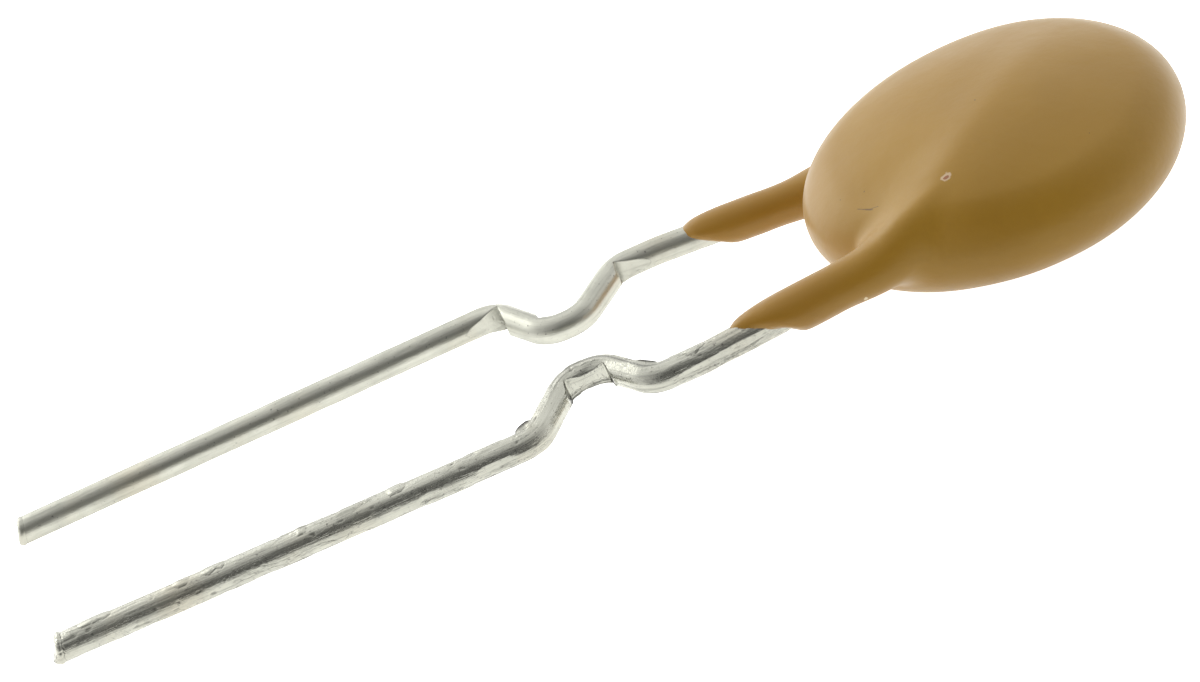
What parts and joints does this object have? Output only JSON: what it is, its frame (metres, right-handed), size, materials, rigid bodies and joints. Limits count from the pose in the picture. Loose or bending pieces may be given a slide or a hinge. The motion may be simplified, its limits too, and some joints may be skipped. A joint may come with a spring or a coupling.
{
  "type": "resettable fuse",
  "caption": "Radial-leaded resettable fuse: oval dip-coated epoxy body on parallel round wire leads, each with an inward kink that stops on the circuit board.",
  "frame": {"origin": "midway between the two leads, at the outer shoulders of the kinks, where the face of a circuit board stops the fuse", "axes": "+X from the lead tips to the body, +Y across the leads from the front lead to the rear lead, +Z out of the body's front face, upwards as the fuse lies on its rear face"},
  "size_m": [0.0225, 0.006, 0.0028],
  "materials": {
    "epoxy": "dip-coated epoxy, satin gloss",
    "tinned_wire": "tin-plated wire, lightly scuffed by forming",
    "carbon_polymer": "carbon-filled polymer, matt",
    "metal_foil": "nickel-plated foil",
    "solder": "solidified solder"
  },
  "bodies": {
    "root": {"epoxy_coating": "epoxy", "front_lead": "tinned_wire", "rear_lead": "tinned_wire", "ptc_chip": "carbon_polymer", "front_electrode": "metal_foil", "rear_electrode": "metal_foil", "front_solder_joint": "solder", "rear_solder_joint": "solder"}
  },
  "joints": []
}
